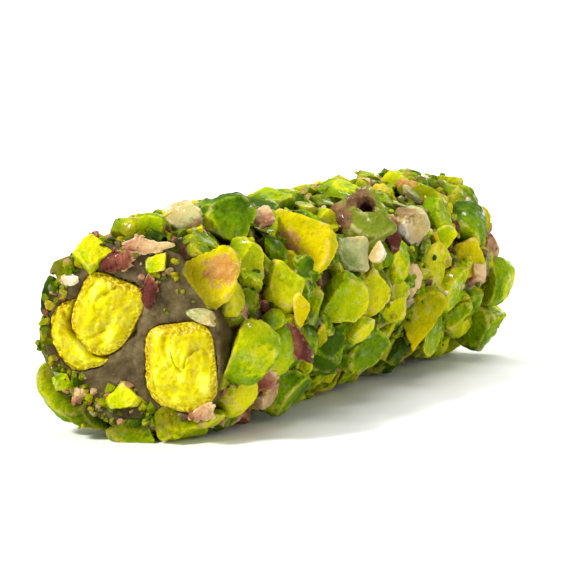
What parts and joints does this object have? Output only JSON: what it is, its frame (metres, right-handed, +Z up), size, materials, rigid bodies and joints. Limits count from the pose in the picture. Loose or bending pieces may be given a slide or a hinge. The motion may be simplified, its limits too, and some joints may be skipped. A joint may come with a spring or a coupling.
{
  "type": "pistachio turkish delight roll",
  "caption": "Short log of Turkish delight coated with chopped pistachio, with whole pistachio kernels showing in its cut faces.",
  "frame": {"origin": "middle of the roll's box, on the surface that it rests on", "axes": "+Y along the roll from the cut face that the picture shows toward the other cut face, +Z up"},
  "size_m": [0.031, 0.0842, 0.0275],
  "materials": {
    "lokum": "grey-brown, faintly translucent gel with a dull sheen",
    "kernel": "bright yellow cut pistachio flesh",
    "pistachio_green": "bright green chopped pistachio",
    "pistachio_dark": "dark green chopped pistachio",
    "pistachio_yellow": "yellow chopped pistachio with golden patches",
    "pistachio_skin": "pistachio with its papery purple-brown skin"
  },
  "bodies": {
    "root": {"lokum_roll": "lokum", "kernel_front_left": "kernel", "kernel_front_right": "kernel", "kernel_front_edge": "kernel", "kernel_back_left": "kernel", "kernel_back_right": "kernel", "kernel_back_top": "kernel", "piece_rim_lobe": "pistachio_green", "piece_dark_block": "pistachio_dark", "piece_gold_half": "pistachio_yellow", "piece_green_kidney": "pistachio_green", "piece_yellow_shard": "pistachio_yellow", "piece_olive_knob": "pistachio_skin", "piece_green_shard": "pistachio_green", "piece_green_nugget": "pistachio_green"}
  },
  "joints": []
}
